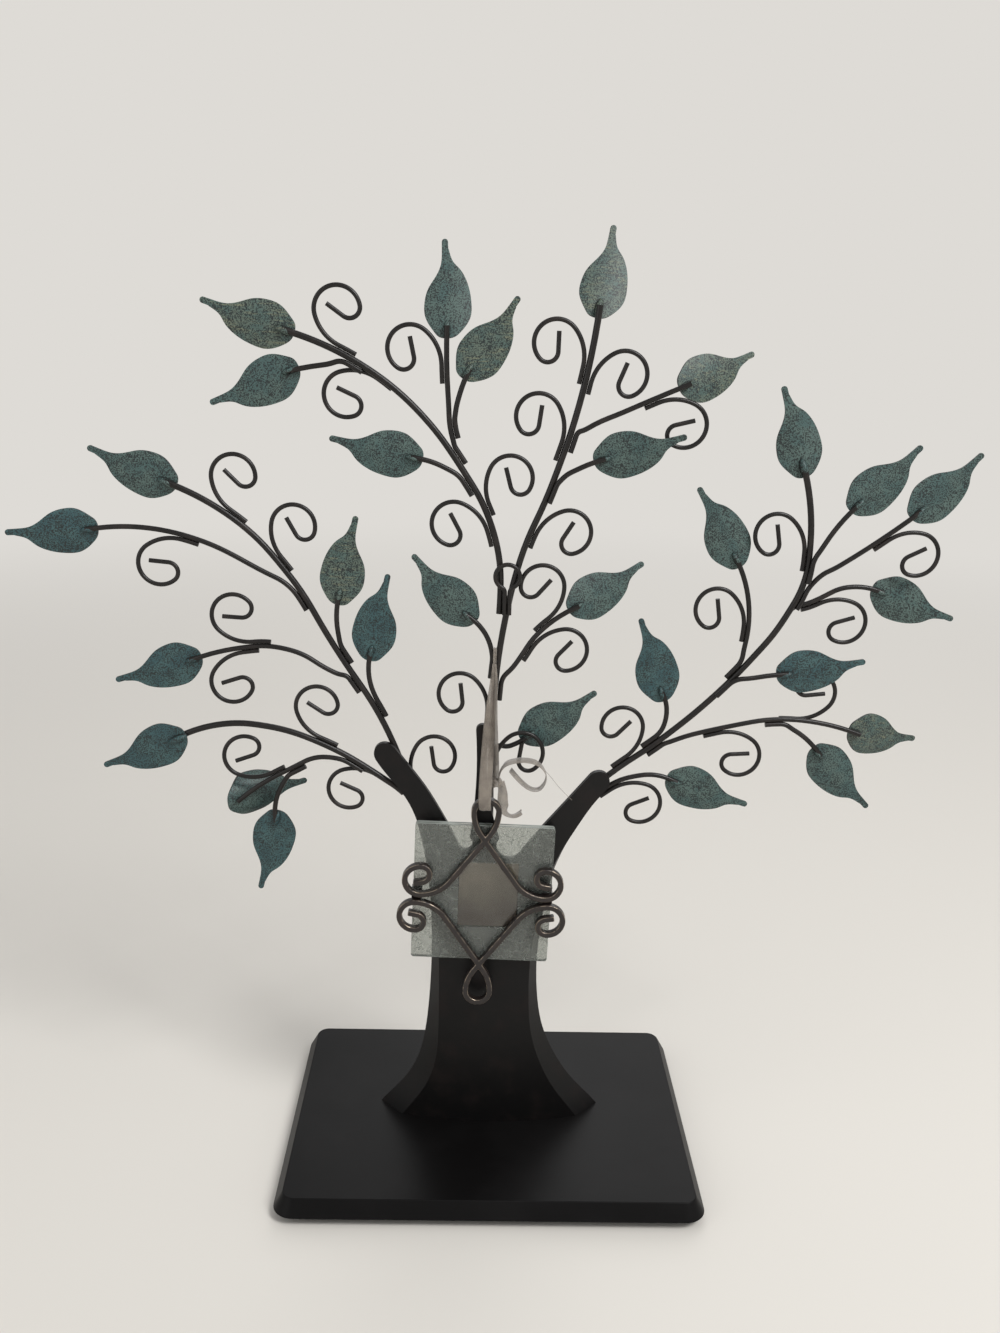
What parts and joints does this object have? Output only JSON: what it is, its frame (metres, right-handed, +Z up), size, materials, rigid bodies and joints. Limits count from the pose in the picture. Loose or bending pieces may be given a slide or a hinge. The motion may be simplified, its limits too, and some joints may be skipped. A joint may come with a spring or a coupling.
{
  "type": "photo tree stand",
  "caption": "Tabletop tree on a plinth, with scrolled wire branches, stamped leaves and a framed glass photo ornament hung by a ribbon.",
  "frame": {"origin": "centre of the felt's underside, where the plinth rests on the table", "axes": "+Z up, +X to the object's right as the viewer sees it from the front, -Y towards the viewer"},
  "size_m": [0.4552, 0.1572, 0.4593],
  "materials": {
    "black_steel": "satin",
    "bronze_wire": "satin",
    "worn_bronze": "satin, edges rubbed bright",
    "verdigris_leaf": "satin, fine dark speckle",
    "black_wood": "satin black paint",
    "felt": "matt",
    "zinc_steel": "satin",
    "glass": "polished",
    "card": "satin",
    "organza": "sheer"
  },
  "bodies": {
    "tree": {"base_felt": "felt", "base_plinth": "black_wood", "base_screws": "zinc_steel", "base_washers": "zinc_steel", "hanging_eye": "bronze_wire", "leaf_centre_10": "verdigris_leaf", "leaf_centre_11": "verdigris_leaf", "leaf_centre_2": "verdigris_leaf", "leaf_centre_3": "verdigris_leaf", "leaf_centre_4": "verdigris_leaf", "leaf_centre_5": "verdigris_leaf", "leaf_centre_7": "verdigris_leaf", "leaf_centre_8": "verdigris_leaf", "leaf_centre_9": "verdigris_leaf", "leaf_centre_high": "verdigris_leaf", "leaf_centre_left": "verdigris_leaf", "leaf_left_2": "verdigris_leaf", "leaf_left_3": "verdigris_leaf", "leaf_left_5": "verdigris_leaf", "leaf_left_6": "verdigris_leaf", "leaf_left_7": "verdigris_leaf", "leaf_left_8": "verdigris_leaf", "leaf_left_high": "verdigris_leaf", "leaf_left_low": "verdigris_leaf", "leaf_right_10": "verdigris_leaf", "leaf_right_2": "verdigris_leaf", "leaf_right_3": "verdigris_leaf", "leaf_right_4": "verdigris_leaf", "leaf_right_5": "verdigris_leaf", "leaf_right_6": "verdigris_leaf", "leaf_right_7": "verdigris_leaf", "leaf_right_8": "verdigris_leaf", "leaf_right_9": "verdigris_leaf", "leaf_right_high": "verdigris_leaf", "ribbon_bight": "organza", "scrolls_centre_left": "bronze_wire", "scrolls_centre_low": "bronze_wire", "scrolls_centre_right": "bronze_wire", "scrolls_left": "bronze_wire", "scrolls_right_lower": "bronze_wire", "scrolls_right_upper": "bronze_wire", "stem_centre_high": "bronze_wire", "stem_centre_left": "bronze_wire", "stem_left_high": "bronze_wire", "stem_left_low": "bronze_wire", "stem_right_high": "bronze_wire", "trunk_foot_plate": "black_steel", "trunk_panel": "black_steel", "twigs_centre": "bronze_wire", "twigs_left": "bronze_wire", "twigs_right": "bronze_wire"},
    "ribbon": {"ribbon_loop": "organza", "ribbon_knot": "organza", "ribbon_tails": "organza"},
    "ornament": {"glass_front": "glass", "glass_back": "glass", "side_clips": "worn_bronze", "upper_frame": "worn_bronze", "lower_frame": "worn_bronze"},
    "photo": {"photo_card": "card"}
  },
  "joints": [
    {"name": "ribbon_swing", "type": "hinge", "parent": "tree", "child": "ribbon", "pos_m": [-0.0032, -0.0107, 0.262], "axis": [0, 1, 0], "range_deg": [-15, 15]},
    {"name": "ornament_tilt", "type": "hinge", "parent": "ribbon", "child": "ornament", "pos_m": [-0.00529, -0.02035, 0.19518], "axis": [-1, 0, 0], "range_deg": [0, 45]},
    {"name": "photo_slide", "type": "slide", "parent": "ornament", "child": "photo", "axis": [0.0262, 0, 0.9997], "range_m": [0, 0.022]}
  ]
}
